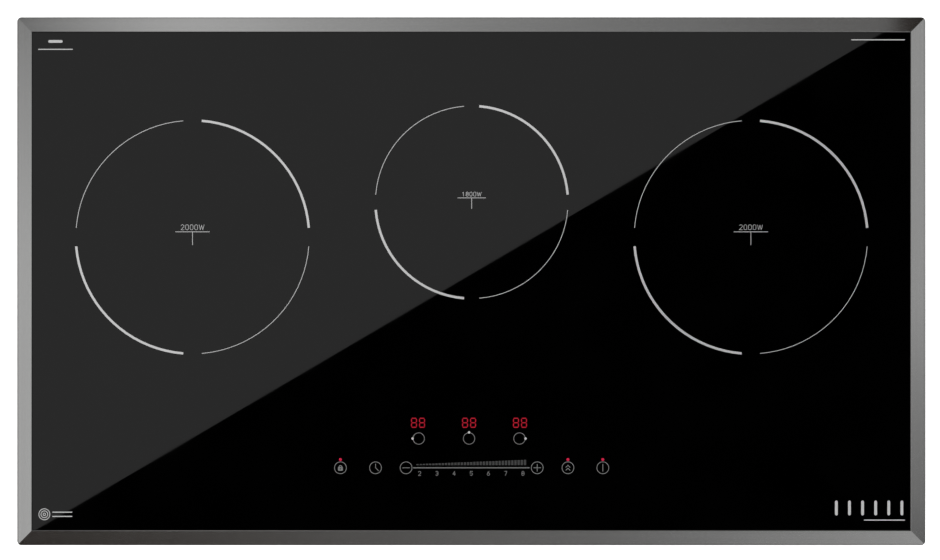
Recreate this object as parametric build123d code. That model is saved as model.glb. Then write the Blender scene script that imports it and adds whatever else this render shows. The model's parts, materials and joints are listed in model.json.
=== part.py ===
from build123d import *
from math import cos, radians, sin, sqrt, tan
import os

# Built-in induction hob with three cooking zones, in millimetres, +Z up.
# The origin is the middle of the worktop cut-out, in the plane of the worktop's top face.
# +X is to the cook's right, and the cook stands on the -Y side.

# Overall size and the metal frame around the glass.
WIDTH = 860.0
DEPTH = 500.0
CORNER_RADIUS = 4.5
FACE_WIDTH = 14.0         # of the frame, seen from above
FRAME_TOP = 8.2           # above the worktop
SKIRT_BOTTOM = 0.6
SKIRT_WIDTH = 1.5
EDGE_TOP = 3.2            # where the bevel starts, behind the outer round-over
EDGE_ROUND = 1.0
INNER_EASE = 0.3          # break of the top edge beside the glass
BASE_REACH = 30.0         # of the ledge that carries the glass, from the outer edge
LEDGE = (2.0, 3.0)
KEY_CHANNEL = (4.0, 10.0)
KEY_TOP = 3.6
KEY_LEG = 45.0
KEY_PLAY = 0.2

# The glass, its adhesive and the foam under the frame.
GLASS = (3.5, 7.5)
GLASS_GAP = 0.5
GLASS_ARRIS = 0.3
JOINT_TOP = 7.3
BEAD_WIDTH = 12.0
SEAL = (3.0, 13.0)        # inset from the frame's outer edge
SEAL_TOP = LEDGE[0]

# The print on the glass.
PRINT = 0.05
RING_THICK = 2.2
RING_THIN = 0.55
RING_GAP = 4.55           # degrees left open on each side of an axis
ZONE_SHIFT = 0.4          # of the zone print, to the right of the glass's middle
ZONE_REACH = 264.2
SIDE_ZONE_Y = 41.8
CENTRE_ZONE_Y = 74.8
BIG_RING = 110.4
SMALL_RING = 91.1
SMALL_LABEL = 0.825       # size of the middle zone's label beside the other two
MARK_WIDTH = 32.5
MARK_TOP = 5.0
MARK_FOOT = -7.3
MARK_LINE = 0.5
LABEL_BASE = 6.7
LABEL_HEIGHT = 5.2
LABEL_STROKE = 0.35
LABEL_PITCH = 0.83        # of the figures, as a share of their height

# The control strip.
KEY_ROW = -176.5
KEY_RING = 5.6
KEY_LINE = 0.6
KEY_X = {"lock": -123.8, "timer": -90.6, "minus": -61.7, "plus": 62.4, "boost": 91.5, "power": 124.5}
SELECTOR_ROW = -148.8
SELECTOR_X = (-49.7, -2.1, 45.6)
SELECTOR_RING = 5.4
SELECTOR_DOT = 1.1
DISPLAY_ROW = -133.9
DISPLAY_X = (-50.4, -2.1, 46.1)
DIGIT_PITCH = 7.6
DIGIT_SIZE = (5.7, 9.5)
SEGMENT = 1.0
SEGMENT_GAP = 0.25
LED_ROW = -168.7
LED_RADIUS = 1.4
SLIDER_REACH = 54.7
WEDGE_BASE = -174.0
WEDGE_BARS = 35
SCALE_ROW = -181.8
SCALE_PITCH = 16.3
SCALE_HEIGHT = 4.4
SCALE_STROKE = 0.5
CORNER_LINE = 0.9
CORNER_BAR = 2.6

# The sheet-steel housing below the worktop.
CASE_WIDTH = 818.0
CASE_DEPTH = 458.0
CASE_RADIUS = 6.0
CASE_BOTTOM = -54.0
SHEET = 0.8
FLOOR = CASE_BOTTOM + SHEET
PAN_TOP = FLOOR + 1.6
WALL_X = CASE_WIDTH / 2
WALL_Y = CASE_DEPTH / 2
BEAD = (180.0, 14.0, 1.6)
BEAD_SPOTS = ((-250, -110), (0, -110), (250, -110), (-250, -170), (0, -170), (250, -170),
              (-250, 150), (-70, 190))
VENT = 3.0
VENT_PITCH = 7.0
WALL_VENT = (3.0, 16.0)
WALL_VENT_PITCH = 8.0
WALL_VENT_Z = -34.0
FIXING_SPACING = (740.0, 240.0)
FIXING_HOLE = 1.75
SCREW_HOLE = 2.1
POCKET = (120.0, 60.0, 5.0)
POCKET_AT = (330.0, 187.0)
POCKET_OPENING = (96.0, 34.0)
POCKET_CORNER = 4.0
COVER_SCREW_INSET = 6.0
COUNTERBORE = 3.0
COVER_GAP = 0.4
COVER_BOTTOM = CASE_BOTTOM + 0.2
COVER_GRIP = (30.0, 2.4)

# Screws, brackets and the clips that grip the worktop's edge.
SCREW_SHANK = 1.9
SCREW_HEAD = (3.8, 2.4)
SCREW_LENGTH = 8.0
SCREW_RECESS = (1.6, 1.3)
BRACKET_Z = -7.0
BRACKET_LENGTH = 30.0
BRACKET = (7.5, 16.0)     # its two legs, of 1 mm sheet
SIDE_BRACKETS = (-180.0, 0.0, 180.0)
END_BRACKETS = (-270.0, 270.0)
CLIP_Y = 100.0
CLIP_TAB = (-19.5, -8.0)
CLIP_SCREW_Z = -14.0
CLIP_WIDTH = 18.0
CLIP_PIVOT = (WALL_X + 0.5, -20.0)
CLIP_BULGE = (8.1, -38.0)
CLIP_TIP = (4.4, -47.0)
TRAY_TABS = (20.0, 165.0)
TRAY_SCREW_Z = -28.0

# Where the mains lead comes in.
INLET = (330.0, -36.0)
INLET_BORE = 6.2
INLET_BODY = 8.8
INLET_FLANGE = 12.0

# The coils, and the tray that carries them.
WINDING = (-2.4, 2.6)
TURN = 3.5
FORMER_BASE = (-4.4, -2.4)
FERRITE_BOTTOM = -9.6
FERRITE_WIDTH = 15.0
RIB = 1.2
WINDOW_WIDTH = 12.0
TAB_RADIUS = 8.0
TAB_ANGLES = (30, 150, 270)
GUIDE = 2.0
GUIDE_HOLE = 2.4
GUIDE_HEAD = (3.6, -2.1, -0.1)
TRAY = (-21.0, -20.0)
TRAY_X = 400.0
TRAY_Y = (-88.0, 222.0)
LEG_SPOTS = ((-320, -88.0, 1), (320, -88.0, 1), (-200, 222.0, -1), (30, 222.0, -1))
LEG = (40.0, 12.0)
SPRING_RADIUS = 4.6
SPRING_WIRE = 0.9
SPRING_TURNS = 5
LITZ = 3.0
MAINS_WIRE = 2.8
LEAD_LEVEL = -14.5         # of the middle coil's leads, above the tray
LEAD_END = -38.0

# The electronics.
BOARD = (-46.0, -44.4)
BOARD_SIZE = (225.0, 160.0)
BOARD_AT = (275.0, 20.0)
FILTER_SIZE = (150.0, 70.0)
FILTER_AT = (150.0, 172.0)
SINK_SIZE = (96.0, 74.0)
SINK_X = 215.0
SINK_BASE = 4.0
SINK_TOP = -23.0
FIN = 1.4
FINS = 13
CONTROL_BOARD = (-7.6, -6.0)
CONTROL_SIZE = (300.0, 88.0)
CONTROL_Y = -160.0

# The two blowers that cool the boards.
BLOWER_AT = (100.0, 40.0)
BLOWER_SIZE = 78.0
BLOWER = (FLOOR, -24.2)
BLOWER_WALL = 2.0
CHAMBER = 34.0
IMPELLER = (19.0, 28.0)
BLADES = 24
SHAFT = 1.5
BEARING = 1.55


def block(x, y, z):
    """A box between three pairs of limits."""
    size = Box(x[1] - x[0], y[1] - y[0], z[1] - z[0])
    return Pos((x[0] + x[1]) / 2, (y[0] + y[1]) / 2, (z[0] + z[1]) / 2) * size


def disc(radius, z, at=(0, 0)):
    """An upright cylinder between two heights."""
    return Pos(at[0], at[1], (z[0] + z[1]) / 2) * Cylinder(radius, z[1] - z[0])


def slab(width, depth, radius, z, at=(0, 0)):
    """A plate with round corners between two heights."""
    return Pos(at[0], at[1], z[0]) * extrude(RectangleRounded(width, depth, radius), z[1] - z[0])


def save(node, *pieces):
    """Write one node's solids to its STEP file."""
    solids = [solid for piece in pieces for solid in piece.solids()]
    shape = solids[0] if len(solids) == 1 else Compound(children=solids)
    shape.label = node
    export_step(shape, f"parts/{node}.step")


def screw(at, direction):
    """A pan-head screw whose head sits on the plane through at, facing direction."""
    head = Cylinder(SCREW_HEAD[0], SCREW_HEAD[1], align=(Align.CENTER, Align.CENTER, Align.MIN))
    head = fillet(head.edges().group_by(Axis.Z)[-1], 1.2)
    shank = disc(SCREW_SHANK, (-SCREW_LENGTH, 0))
    recess = Pos(0, 0, SCREW_HEAD[1] - SCREW_RECESS[1]) * extrude(
        RegularPolygon(SCREW_RECESS[0], 6), SCREW_RECESS[1])
    return Plane(origin=at, z_dir=direction) * (head + shank - recess)


# ---- the metal frame ----

def corner_tip(half, reach, end):
    """The outline of what the round corner takes off one rail's end, as far as the mitre."""
    x = end * (half - CORNER_RADIUS)
    y = CORNER_RADIUS - reach
    angles = [radians(a) for a in (0, 22.5, 45)]
    rim = [(x + end * CORNER_RADIUS * sin(a), y - CORNER_RADIUS * cos(a)) for a in angles]
    outside = [rim[2], (end * (half + 1), -reach - 1), (x, -reach - 1), rim[0]]
    return Curve() + [ThreePointArc(*rim), Polyline(*outside)]


def rail(length, reach):
    """One mitred rail of the frame, lying along X with its outer edge at y = -reach."""
    section = Plane(origin=(-length / 2, -reach, 0), x_dir=(0, 1, 0), z_dir=(1, 0, 0))
    edge = [
        Line((0, SKIRT_BOTTOM), (0, EDGE_TOP - EDGE_ROUND)),
        RadiusArc((0, EDGE_TOP - EDGE_ROUND), (EDGE_ROUND, EDGE_TOP), EDGE_ROUND * 1.1),
        Polyline((EDGE_ROUND, EDGE_TOP), (FACE_WIDTH - INNER_EASE, FRAME_TOP),
                 (FACE_WIDTH, FRAME_TOP - INNER_EASE),
                 (FACE_WIDTH, LEDGE[1]), (BASE_REACH, LEDGE[1]), (BASE_REACH, LEDGE[0]),
                 (KEY_CHANNEL[1], LEDGE[0]), (KEY_CHANNEL[1], KEY_TOP), (KEY_CHANNEL[0], KEY_TOP),
                 (KEY_CHANNEL[0], LEDGE[0]), (SKIRT_WIDTH, LEDGE[0]), (SKIRT_WIDTH, SKIRT_BOTTOM),
                 (0, SKIRT_BOTTOM)),
    ]
    bar = extrude(section * make_face(Curve() + edge), length)
    half = length / 2
    above = FRAME_TOP + 1
    for end in (-1, 1):
        mitre = Polyline((end * (half + 1), -reach - 1), (end * (half + 1), BASE_REACH - reach + 1),
                         (end * (half - BASE_REACH - 1), BASE_REACH - reach + 1), close=True)
        bar = bar - extrude(make_face(mitre), above, dir=(0, 0, 1))
        bar = bar - extrude(make_face(corner_tip(half, reach, end)), above, dir=(0, 0, 1))
    return bar


def frame_rails():
    save("trim_front", rail(WIDTH, DEPTH / 2))
    save("trim_right", Rot(0, 0, 90) * rail(DEPTH, WIDTH / 2))
    save("trim_rear", Rot(0, 0, 180) * rail(WIDTH, DEPTH / 2))
    save("trim_left", Rot(0, 0, 270) * rail(DEPTH, WIDTH / 2))


def corner_keys():
    """An angle in each corner's channel, holding two rails together."""
    outer = KEY_CHANNEL[0] + KEY_PLAY
    inner = KEY_CHANNEL[1] - KEY_PLAY
    z = (LEDGE[0], KEY_TOP - KEY_PLAY)
    keys = []
    for sx in (-1, 1):
        for sy in (-1, 1):
            far_x = sorted((sx * (WIDTH / 2 - outer), sx * (WIDTH / 2 - KEY_LEG)))
            far_y = sorted((sy * (DEPTH / 2 - outer), sy * (DEPTH / 2 - KEY_LEG)))
            near_x = sorted((sx * (WIDTH / 2 - inner), sx * (WIDTH / 2 - KEY_LEG)))
            near_y = sorted((sy * (DEPTH / 2 - inner), sy * (DEPTH / 2 - KEY_LEG)))
            keys.append(block(far_x, far_y, z) - block(near_x, near_y, z))
    save("corner_keys", *keys)


def glass_and_joint():
    """The glass pane, and the silicone that beds it in the frame."""
    opening = (WIDTH - 2 * FACE_WIDTH, DEPTH - 2 * FACE_WIDTH)
    pane = block((-opening[0] / 2 + GLASS_GAP, opening[0] / 2 - GLASS_GAP),
                 (-opening[1] / 2 + GLASS_GAP, opening[1] / 2 - GLASS_GAP), GLASS)
    glass = fillet(pane.edges().filter_by(Axis.Z), 1.0)
    glass = chamfer(glass.edges().group_by(Axis.Z)[-1], GLASS_ARRIS)
    save("glass_top", glass)
    bed = block((-opening[0] / 2, opening[0] / 2), (-opening[1] / 2, opening[1] / 2), (LEDGE[1], JOINT_TOP))
    middle = block((-opening[0] / 2 + BEAD_WIDTH, opening[0] / 2 - BEAD_WIDTH),
                   (-opening[1] / 2 + BEAD_WIDTH, opening[1] / 2 - BEAD_WIDTH), (LEDGE[1], JOINT_TOP))
    save("glass_adhesive", bed - middle - pane)


def worktop_seal():
    """Four strips of foam tape under the frame, which the worktop presses."""
    outer_x = WIDTH / 2 - SEAL[0]
    inner_x = WIDTH / 2 - SEAL[1]
    outer_y = DEPTH / 2 - SEAL[0]
    inner_y = DEPTH / 2 - SEAL[1]
    z = (0, SEAL_TOP)
    save("worktop_seal",
         block((-outer_x, outer_x), (-outer_y, -inner_y), z),
         block((-outer_x, outer_x), (inner_y, outer_y), z),
         block((-outer_x, -inner_x), (-inner_y, inner_y), z),
         block((inner_x, outer_x), (-inner_y, inner_y), z))


# ---- the print on the glass ----

def printed(sketch, at=(0, 0)):
    """A flat shape laid on the glass as a film of ink."""
    return Pos(at[0], at[1], GLASS[1]) * extrude(sketch, PRINT)


def stroke(width, *points):
    """A line of even width with round ends and joins."""
    shapes = [SlotArc(Line(a, b), width) for a, b in zip(points, points[1:])]
    return Sketch() + shapes


def bend(width, centre, radius, start, turn):
    """An arc of even width with round ends."""
    return SlotArc(CenterArc(centre, radius, start, turn), width)


def cut_bend(width, radius, start, turn):
    """An arc of even width with square ends."""
    inner = CenterArc((0, 0), radius - width / 2, start, turn)
    outer = CenterArc((0, 0), radius + width / 2, start, turn)
    return make_face(Curve() + [inner, outer, Line(inner @ 0, outer @ 0), Line(inner @ 1, outer @ 1)])


def hoop(radius, width):
    """A closed circle of even width."""
    return Circle(radius + width / 2) - Circle(radius - width / 2)


def oval(size, width, at=(0, 0)):
    """A closed loop with round ends, standing upright."""
    outer = SlotOverall(size[1] + width, size[0] + width)
    inner = SlotOverall(size[1] - width, size[0] - width)
    return Pos(at[0], at[1]) * Rot(0, 0, 90) * (outer - inner)


def glyph(name, h, w):
    """One plain numeral or unit, h high, drawn from strokes w wide about its centre."""
    r = h * 0.27
    t = h / 2 - w / 2
    if name == "0":
        return oval((2 * r, 2 * t), w)
    if name == "1":
        return stroke(w, (-r * 0.7, t * 0.5), (0, t), (0, -t))
    if name == "2":
        return bend(w, (0, t - r), r, 160, -185) + stroke(w, (r * 0.9, t - 1.42 * r), (-r, -t), (r, -t))
    if name == "3":
        return bend(w, (0, t - r), r, 150, -240) + bend(w, (0, r - t), r, 90, -240)
    if name == "4":
        return stroke(w, (r * 0.5, -t), (r * 0.5, t), (-r, -t * 0.4), (r * 1.1, -t * 0.4))
    if name == "5":
        return stroke(w, (r, t), (-r * 0.8, t), (-r * 0.9, 0)) + bend(w, (0, r * 1.05 - t), r, 130, -280)
    if name == "6":
        return Pos(0, r - t) * hoop(r, w) + stroke(w, (-r, r - t), (-r * 0.4, t * 0.5), (r * 0.6, t))
    if name == "7":
        return stroke(w, (-r, t), (r, t), (-r * 0.3, -t))
    if name == "8":
        return Pos(0, r - t) * hoop(r, w) + Pos(0, t - r * 0.9) * hoop(r * 0.9, w)
    return stroke(w, (-1.7 * r, t), (-0.85 * r, -t), (0, t * 0.8), (0.85 * r, -t), (1.7 * r, t))


def zone_ring(at, radius):
    """Four arcs, with the thick ones at the rear right and the front left."""
    arcs = []
    for quadrant in range(4):
        width = RING_THICK if quadrant % 2 == 0 else RING_THIN
        start = 90 * quadrant + RING_GAP
        arcs.append(printed(cut_bend(width, radius, start, 90 - 2 * RING_GAP), at))
    return arcs


def zone_label(at, power, scale):
    """The rated power over a T-shaped centre mark."""
    marks = [printed(Pos(0, scale * MARK_TOP) * Rectangle(scale * MARK_WIDTH, MARK_LINE), at)]
    foot = scale * (MARK_TOP - MARK_FOOT)
    middle = scale * MARK_TOP - MARK_LINE / 2 - foot / 2
    marks.append(printed(Pos(0, middle) * Rectangle(MARK_LINE, foot), at))
    height = scale * LABEL_HEIGHT
    pitch = height * LABEL_PITCH
    for i, name in enumerate(power):
        shift = (i - 2.2) * pitch + (height * 0.16 if name == "W" else 0)
        shape = glyph(name, height, LABEL_STROKE)
        marks.append(printed(Pos(shift, scale * LABEL_BASE + height / 2) * shape, at))
    return marks


def zone_print():
    left = (ZONE_SHIFT - ZONE_REACH, SIDE_ZONE_Y)
    right = (ZONE_SHIFT + ZONE_REACH, SIDE_ZONE_Y)
    centre = (ZONE_SHIFT, CENTRE_ZONE_Y)
    save("zone_print",
         *zone_ring(left, BIG_RING), *zone_label(left, "2000W", 1),
         *zone_ring(centre, SMALL_RING), *zone_label(centre, "1800W", SMALL_LABEL),
         *zone_ring(right, BIG_RING), *zone_label(right, "2000W", 1))


def key_symbol(name):
    """The symbol inside one touch key's ring."""
    w = KEY_LINE
    if name == "lock":
        body = RectangleRounded(4.6, 3.6, 0.6)
        shackle = bend(0.7, (0, 0.7), 1.4, 0, 180)
        return Pos(0, -1.0) * (body - Circle(0.55)) + shackle
    if name == "timer":
        return stroke(0.6, (0, 3.6), (0, 0), (2.8, -2.8))
    if name == "minus":
        return stroke(w, (-3.3, 0), (3.3, 0))
    if name == "plus":
        return stroke(w, (-3.3, 0), (3.3, 0)) + stroke(w, (0, -3.3), (0, 3.3))
    if name == "boost":
        chevron = stroke(w, (-2, -1.2), (0, 0.8), (2, -1.2))
        return Pos(0, -1.2) * chevron + Pos(0, 1.6) * chevron
    return stroke(w, (0, -3.4), (0, 3.4))


def control_print():
    """Key rings, symbols, the slider with its bars and scale, and two plain marks."""
    marks = [printed(hoop(KEY_RING, KEY_LINE) + key_symbol(name), (x, KEY_ROW)) for name, x in KEY_X.items()]
    for x, angle in zip(SELECTOR_X, (180, 90, 0)):
        reach = SELECTOR_RING + 0.4
        dot = Pos(reach * cos(radians(angle)), reach * sin(radians(angle))) * Circle(SELECTOR_DOT)
        marks.append(printed(hoop(SELECTOR_RING, KEY_LINE) + dot, (x, SELECTOR_ROW)))
    marks.append(printed(stroke(1.0, (-SLIDER_REACH, 0), (SLIDER_REACH, 0)), (0, KEY_ROW)))
    pitch = 2 * (SLIDER_REACH - 2.4) / WEDGE_BARS
    for i in range(WEDGE_BARS):
        height = 1 + 4 * i / (WEDGE_BARS - 1)
        bar = Pos(0, height / 2) * Rectangle(pitch - 0.8, height)
        marks.append(printed(bar, ((i + 0.5) * pitch - SLIDER_REACH + 2.4, WEDGE_BASE)))
    for i, name in enumerate("2345678"):
        marks.append(printed(glyph(name, SCALE_HEIGHT, SCALE_STROKE), ((i - 3) * SCALE_PITCH, SCALE_ROW)))
    return marks


def corner_marks():
    """Plain marks in the corners: a coil with two lines, a row of bars, and short lines."""
    coil = hoop(5.2, 0.7) + hoop(3.2, 0.7) + hoop(1.2, 0.7)
    marks = [printed(coil, (-404, -220.5))]
    for y in (-222.5, -218.5):
        marks.append(printed(stroke(CORNER_LINE, (-9, 0), (9, 0)), (-387, y)))
    for i in range(6):
        marks.append(printed(stroke(CORNER_BAR, (0, -5.7), (0, 5.7)), (345.5 + 12.4 * i, -214.5)))
    for reach, x, y in ((19, 391, -226), (25, 385, 228.5), (16, -393.5, 219.5)):
        marks.append(printed(stroke(CORNER_LINE, (-reach, 0), (reach, 0)), (x, y)))
    marks.append(printed(stroke(CORNER_BAR, (-5.5, 0), (5.5, 0)), (-393.5, 227)))
    return marks


def segment_digit(at):
    """The seven lit bars of one display digit, all on."""
    across = DIGIT_SIZE[0] - SEGMENT
    upright = (DIGIT_SIZE[1] - SEGMENT) / 2
    level = SlotOverall(across - SEGMENT_GAP, SEGMENT)
    bars = [printed(level, (at[0], at[1] + row * upright)) for row in (-1, 0, 1)]
    post = Rot(0, 0, 90) * SlotOverall(upright - SEGMENT - SEGMENT_GAP, SEGMENT)
    for side in (-1, 1):
        for row in (-1, 1):
            bars.append(printed(post, (at[0] + side * across / 2, at[1] + row * upright / 2)))
    return bars


def display_lights():
    """The lit windows in the glass: three pairs of digits and three status dots."""
    lights = []
    for x in DISPLAY_X:
        for side in (-1, 1):
            lights += segment_digit((x + side * DIGIT_PITCH / 2, DISPLAY_ROW))
    for name in ("lock", "boost", "power"):
        lights.append(printed(Circle(LED_RADIUS), (KEY_X[name], LED_ROW)))
    save("display_lights", *lights)


# ---- the housing ----

def floor_vents(at):
    """A round field of slots under one blower's inlet."""
    slots = []
    for i in range(-5, 6):
        offset = i * VENT_PITCH
        length = 2 * sqrt(39 ** 2 - offset ** 2)
        slots.append(Pos(at[0], at[1] + offset) * SlotOverall(length, VENT))
    return slots


def wall_vents():
    """Upright slots through the front wall, and one group through the rear wall."""
    cutters = []
    slot = Rot(0, 0, 90) * SlotOverall(WALL_VENT[1], WALL_VENT[0])
    groups = [(-1, -250), (-1, 0), (-1, 250), (1, -200)]
    for side, middle in groups:
        for i in range(-9, 10):
            at = Plane(origin=(middle + i * WALL_VENT_PITCH, side * WALL_Y, WALL_VENT_Z), x_dir=(1, 0, 0),
                       z_dir=(0, -1, 0))
            cutters.append(extrude(at * slot, 3, both=True))
    return cutters


def wall_holes():
    """Round holes through the four walls for the screws and the inlet bush."""
    sides = [(y, BRACKET_Z) for y in SIDE_BRACKETS] + [(y, TRAY_SCREW_Z) for y in TRAY_TABS]
    sides += [(y, CLIP_SCREW_Z) for y in (-CLIP_Y, CLIP_Y)]
    long_hole = Rot(0, 90, 0) * Cylinder(SCREW_HOLE, CASE_WIDTH + 10)
    cutters = [Pos(0, y, z) * long_hole for y, z in sides]
    deep_hole = Rot(90, 0, 0) * Cylinder(SCREW_HOLE, CASE_DEPTH + 10)
    cutters += [Pos(x, 0, BRACKET_Z) * deep_hole for x in END_BRACKETS]
    cutters.append(Pos(INLET[0], WALL_Y, INLET[1]) * Rot(90, 0, 0) * Cylinder(INLET_BODY + 0.2, 10))
    return cutters


def cover_screw_spots():
    """Where the terminal cover's two screws are, near the ends of its pocket."""
    return [(POCKET_AT[0] + side * (POCKET[0] / 2 - COVER_SCREW_INSET), POCKET_AT[1]) for side in (-1, 1)]


def welded_pieces(shell):
    """The pan, the four wall strips on its upturned edge, and the top of the terminal pocket."""
    wide = (-CASE_WIDTH, CASE_WIDTH)
    deep = (-CASE_DEPTH, CASE_DEPTH)
    rest = (PAN_TOP, LEDGE[0] + 1)
    inside = WALL_X - CASE_RADIUS
    pan = shell - block(wide, deep, rest)
    upper = shell - block(wide, deep, (CASE_BOTTOM - 1, PAN_TOP))
    left_end = upper - block((-inside, CASE_WIDTH), deep, rest)
    right_end = upper - block((-CASE_WIDTH, inside), deep, rest)
    middle = upper - block((-CASE_WIDTH, -inside), deep, rest) - block((inside, CASE_WIDTH), deep, rest)
    return pan, left_end, right_end, middle


def bottom_case():
    """The steel housing: ribs pressed up into its floor, a pocket, vents and holes."""
    outer = slab(CASE_WIDTH, CASE_DEPTH, CASE_RADIUS, (CASE_BOTTOM, LEDGE[0]))
    inner = slab(CASE_WIDTH - 2 * SHEET, CASE_DEPTH - 2 * SHEET, CASE_RADIUS - SHEET, (FLOOR, LEDGE[0]))
    length, width, depth = BEAD
    dents = [Pos(x, y, CASE_BOTTOM) * extrude(SlotOverall(length, width), depth) for x, y in BEAD_SPOTS]
    bumps = [Pos(x, y, FLOOR) * extrude(SlotOverall(length + 2 * SHEET, width + 2 * SHEET), depth)
             for x, y in BEAD_SPOTS]
    dents.append(slab(POCKET[0], POCKET[1], POCKET_CORNER, (CASE_BOTTOM, CASE_BOTTOM + POCKET[2]), POCKET_AT))
    bumps.append(slab(POCKET[0] + 2 * SHEET, POCKET[1] + 2 * SHEET, POCKET_CORNER + SHEET,
                      (FLOOR, FLOOR + POCKET[2]), POCKET_AT))
    shell = (outer - dents) - (inner - bumps)
    cuts = floor_vents((-BLOWER_AT[0], BLOWER_AT[1])) + floor_vents(BLOWER_AT)
    cuts += [Pos(sx * FIXING_SPACING[0] / 2, sy * FIXING_SPACING[1] / 2) * Circle(FIXING_HOLE)
             for sx in (-1, 1) for sy in (-1, 1)]
    cuts.append(Pos(*POCKET_AT) * RectangleRounded(POCKET_OPENING[0], POCKET_OPENING[1], 3))
    cuts += [Pos(*spot) * Circle(SCREW_HOLE) for spot in cover_screw_spots()]
    through = [Pos(0, 0, CASE_BOTTOM) * extrude(cut, 10) for cut in cuts]
    save("bottom_case", *welded_pieces(shell - through - wall_vents() - wall_holes()))


def frame_brackets():
    """Angles under the frame's ledge, which the housing's walls are screwed to."""
    brackets = []
    spots = [(0, y, WALL_X) for y in SIDE_BRACKETS] + [(180, -y, WALL_X) for y in SIDE_BRACKETS]
    spots += [(90, -x, WALL_Y) for x in END_BRACKETS] + [(270, x, WALL_Y) for x in END_BRACKETS]
    for turn, along, wall in spots:
        face = wall - SHEET
        y = (along - BRACKET_LENGTH / 2, along + BRACKET_LENGTH / 2)
        angle = block((face - BRACKET[0], face), y, (LEDGE[0] - 1, LEDGE[0]))
        angle = angle + block((face - 1, face), y, (LEDGE[0] - BRACKET[1], LEDGE[0]))
        hole = Pos(face, along, BRACKET_Z) * Rot(0, 90, 0) * Cylinder(SCREW_HOLE - 0.1, 6)
        brackets.append(Rot(0, 0, turn) * (angle - hole))
    save("frame_brackets", *brackets)


def case_screws():
    """The identical screws of the brackets, the coil tray, the clips and the terminal cover."""
    screws = []
    for side in (-1, 1):
        out = (side, 0, 0)
        screws += [screw((side * WALL_X, y, BRACKET_Z), out) for y in SIDE_BRACKETS]
        screws += [screw((side * WALL_X, y, TRAY_SCREW_Z), out) for y in TRAY_TABS]
        screws += [screw((side * (WALL_X + SHEET), y, CLIP_SCREW_Z), out) for y in (-CLIP_Y, CLIP_Y)]
        screws += [screw((x, side * WALL_Y, BRACKET_Z), (0, side, 0)) for x in END_BRACKETS]
    screws += [screw((x, y, CASE_BOTTOM + COUNTERBORE), (0, 0, -1)) for x, y in cover_screw_spots()]
    save("case_screws", *screws)


def worktop_clips():
    """Spring-steel clips on the side walls: a screwed tab and a bulging leaf that bends at its root."""
    tabs = []
    for side, side_name in ((-1, "left"), (1, "right")):
        for y, end_name in ((-CLIP_Y, "front"), (CLIP_Y, "rear")):
            x = sorted((side * WALL_X, side * (WALL_X + SHEET)))
            tab = block(x, (y - CLIP_WIDTH / 2, y + CLIP_WIDTH / 2), CLIP_TAB)
            tabs.append(tab - Pos(side * WALL_X, y, CLIP_SCREW_Z) * Rot(0, 90, 0) * Cylinder(SCREW_HOLE, 6))
            path = FilletPolyline(CLIP_PIVOT, (WALL_X + CLIP_BULGE[0], CLIP_BULGE[1]),
                                  (WALL_X + CLIP_TIP[0], CLIP_TIP[1]), radius=4)
            leaf = Pos(0, y, 0) * extrude(Plane.XZ * SlotArc(path.wire(), SHEET), CLIP_WIDTH / 2, both=True)
            save(f"clip_{side_name}_{end_name}", leaf if side > 0 else mirror(leaf, Plane.YZ))
    save("clip_tabs", *tabs)


def mains_inlet():
    """The bush in the rear wall, the terminal block behind it and the cover under that."""
    along = Plane(origin=(INLET[0], WALL_Y, INLET[1]), z_dir=(0, 1, 0))
    body = disc(INLET_BODY, (-10, 2.5)) + disc(INLET_FLANGE, (0, 2.5))
    body = body + disc(INLET_FLANGE - 1, (-3.4, -SHEET))
    body = chamfer(body.edges().group_by(Axis.Z)[-1], 0.6)
    save("cable_bush", along * (body - disc(INLET_BORE, (-10, 2.5))))
    bottom = FLOOR + POCKET[2]
    terminals = slab(92, 24, 2, (bottom, bottom + 17), POCKET_AT)
    ways = [Pos(POCKET_AT[0] + (i - 2.5) * 14.5, 0, 0) for i in range(6)]
    entry = Pos(0, POCKET_AT[1] + 12, bottom + 11) * Rot(90, 0, 0) * Cylinder(2.6, 28)
    entries = [way * entry for way in ways]
    wells = [way * disc(2.8, (bottom, bottom + 6), (0, POCKET_AT[1])) for way in ways]
    save("terminal_block", terminals - entries - wells)
    top = CASE_BOTTOM + POCKET[2]
    cover = slab(POCKET[0] - 2 * COVER_GAP, POCKET[1] - 2 * COVER_GAP, POCKET_CORNER - COVER_GAP,
                 (COVER_BOTTOM, top), POCKET_AT)
    for spot in cover_screw_spots():
        cover = cover - disc(SCREW_HEAD[0] + COVER_GAP, (CASE_BOTTOM, CASE_BOTTOM + COUNTERBORE), spot)
        cover = cover - disc(SCREW_HOLE, (CASE_BOTTOM, top), spot)
    groove = extrude(SlotOverall(*COVER_GRIP, rotation=90), 1)
    grips = [Pos(POCKET_AT[0] + 6 * i, POCKET_AT[1], COVER_BOTTOM) * groove for i in range(-3, 4)]
    save("terminal_cover", cover - grips)


# ---- the coils ----

def coil_places():
    """Name, centre, outer and inner radius of each winding, and the run of its two leads."""
    return (("left", (-ZONE_REACH, SIDE_ZONE_Y), 98.0, 28.0),
            ("centre", (0.0, CENTRE_ZONE_Y), 78.0, 24.0),
            ("right", (ZONE_REACH, SIDE_ZONE_Y), 98.0, 28.0))


def lead_routes(name, at, outer):
    """The points of a coil's two leads, from the winding's rim down to the board."""
    if name == "centre":
        rim = outer / sqrt(2)
        start = (at[0] + rim - 1, at[1] - rim + 1)
        route = [(start[0], start[1], 0), (start[0] + 16, start[1] - 16, 0),
                 (start[0] + 28, start[1] - 28, LEAD_LEVEL), (176, -20, LEAD_LEVEL), (176, -20, LEAD_END)]
        return route, [(x + 6, y + 6, z) for x, y, z in route]
    side = -1 if name == "left" else 1
    rim = at[0] + side * (outer - 1)
    route = [(rim, at[1] - 4, 0), (rim + side * 20, at[1] - 4, 0), (rim + side * 20, at[1] - 4, LEAD_END)]
    return route, [(x, y + 8, z) for x, y, z in route]


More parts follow.
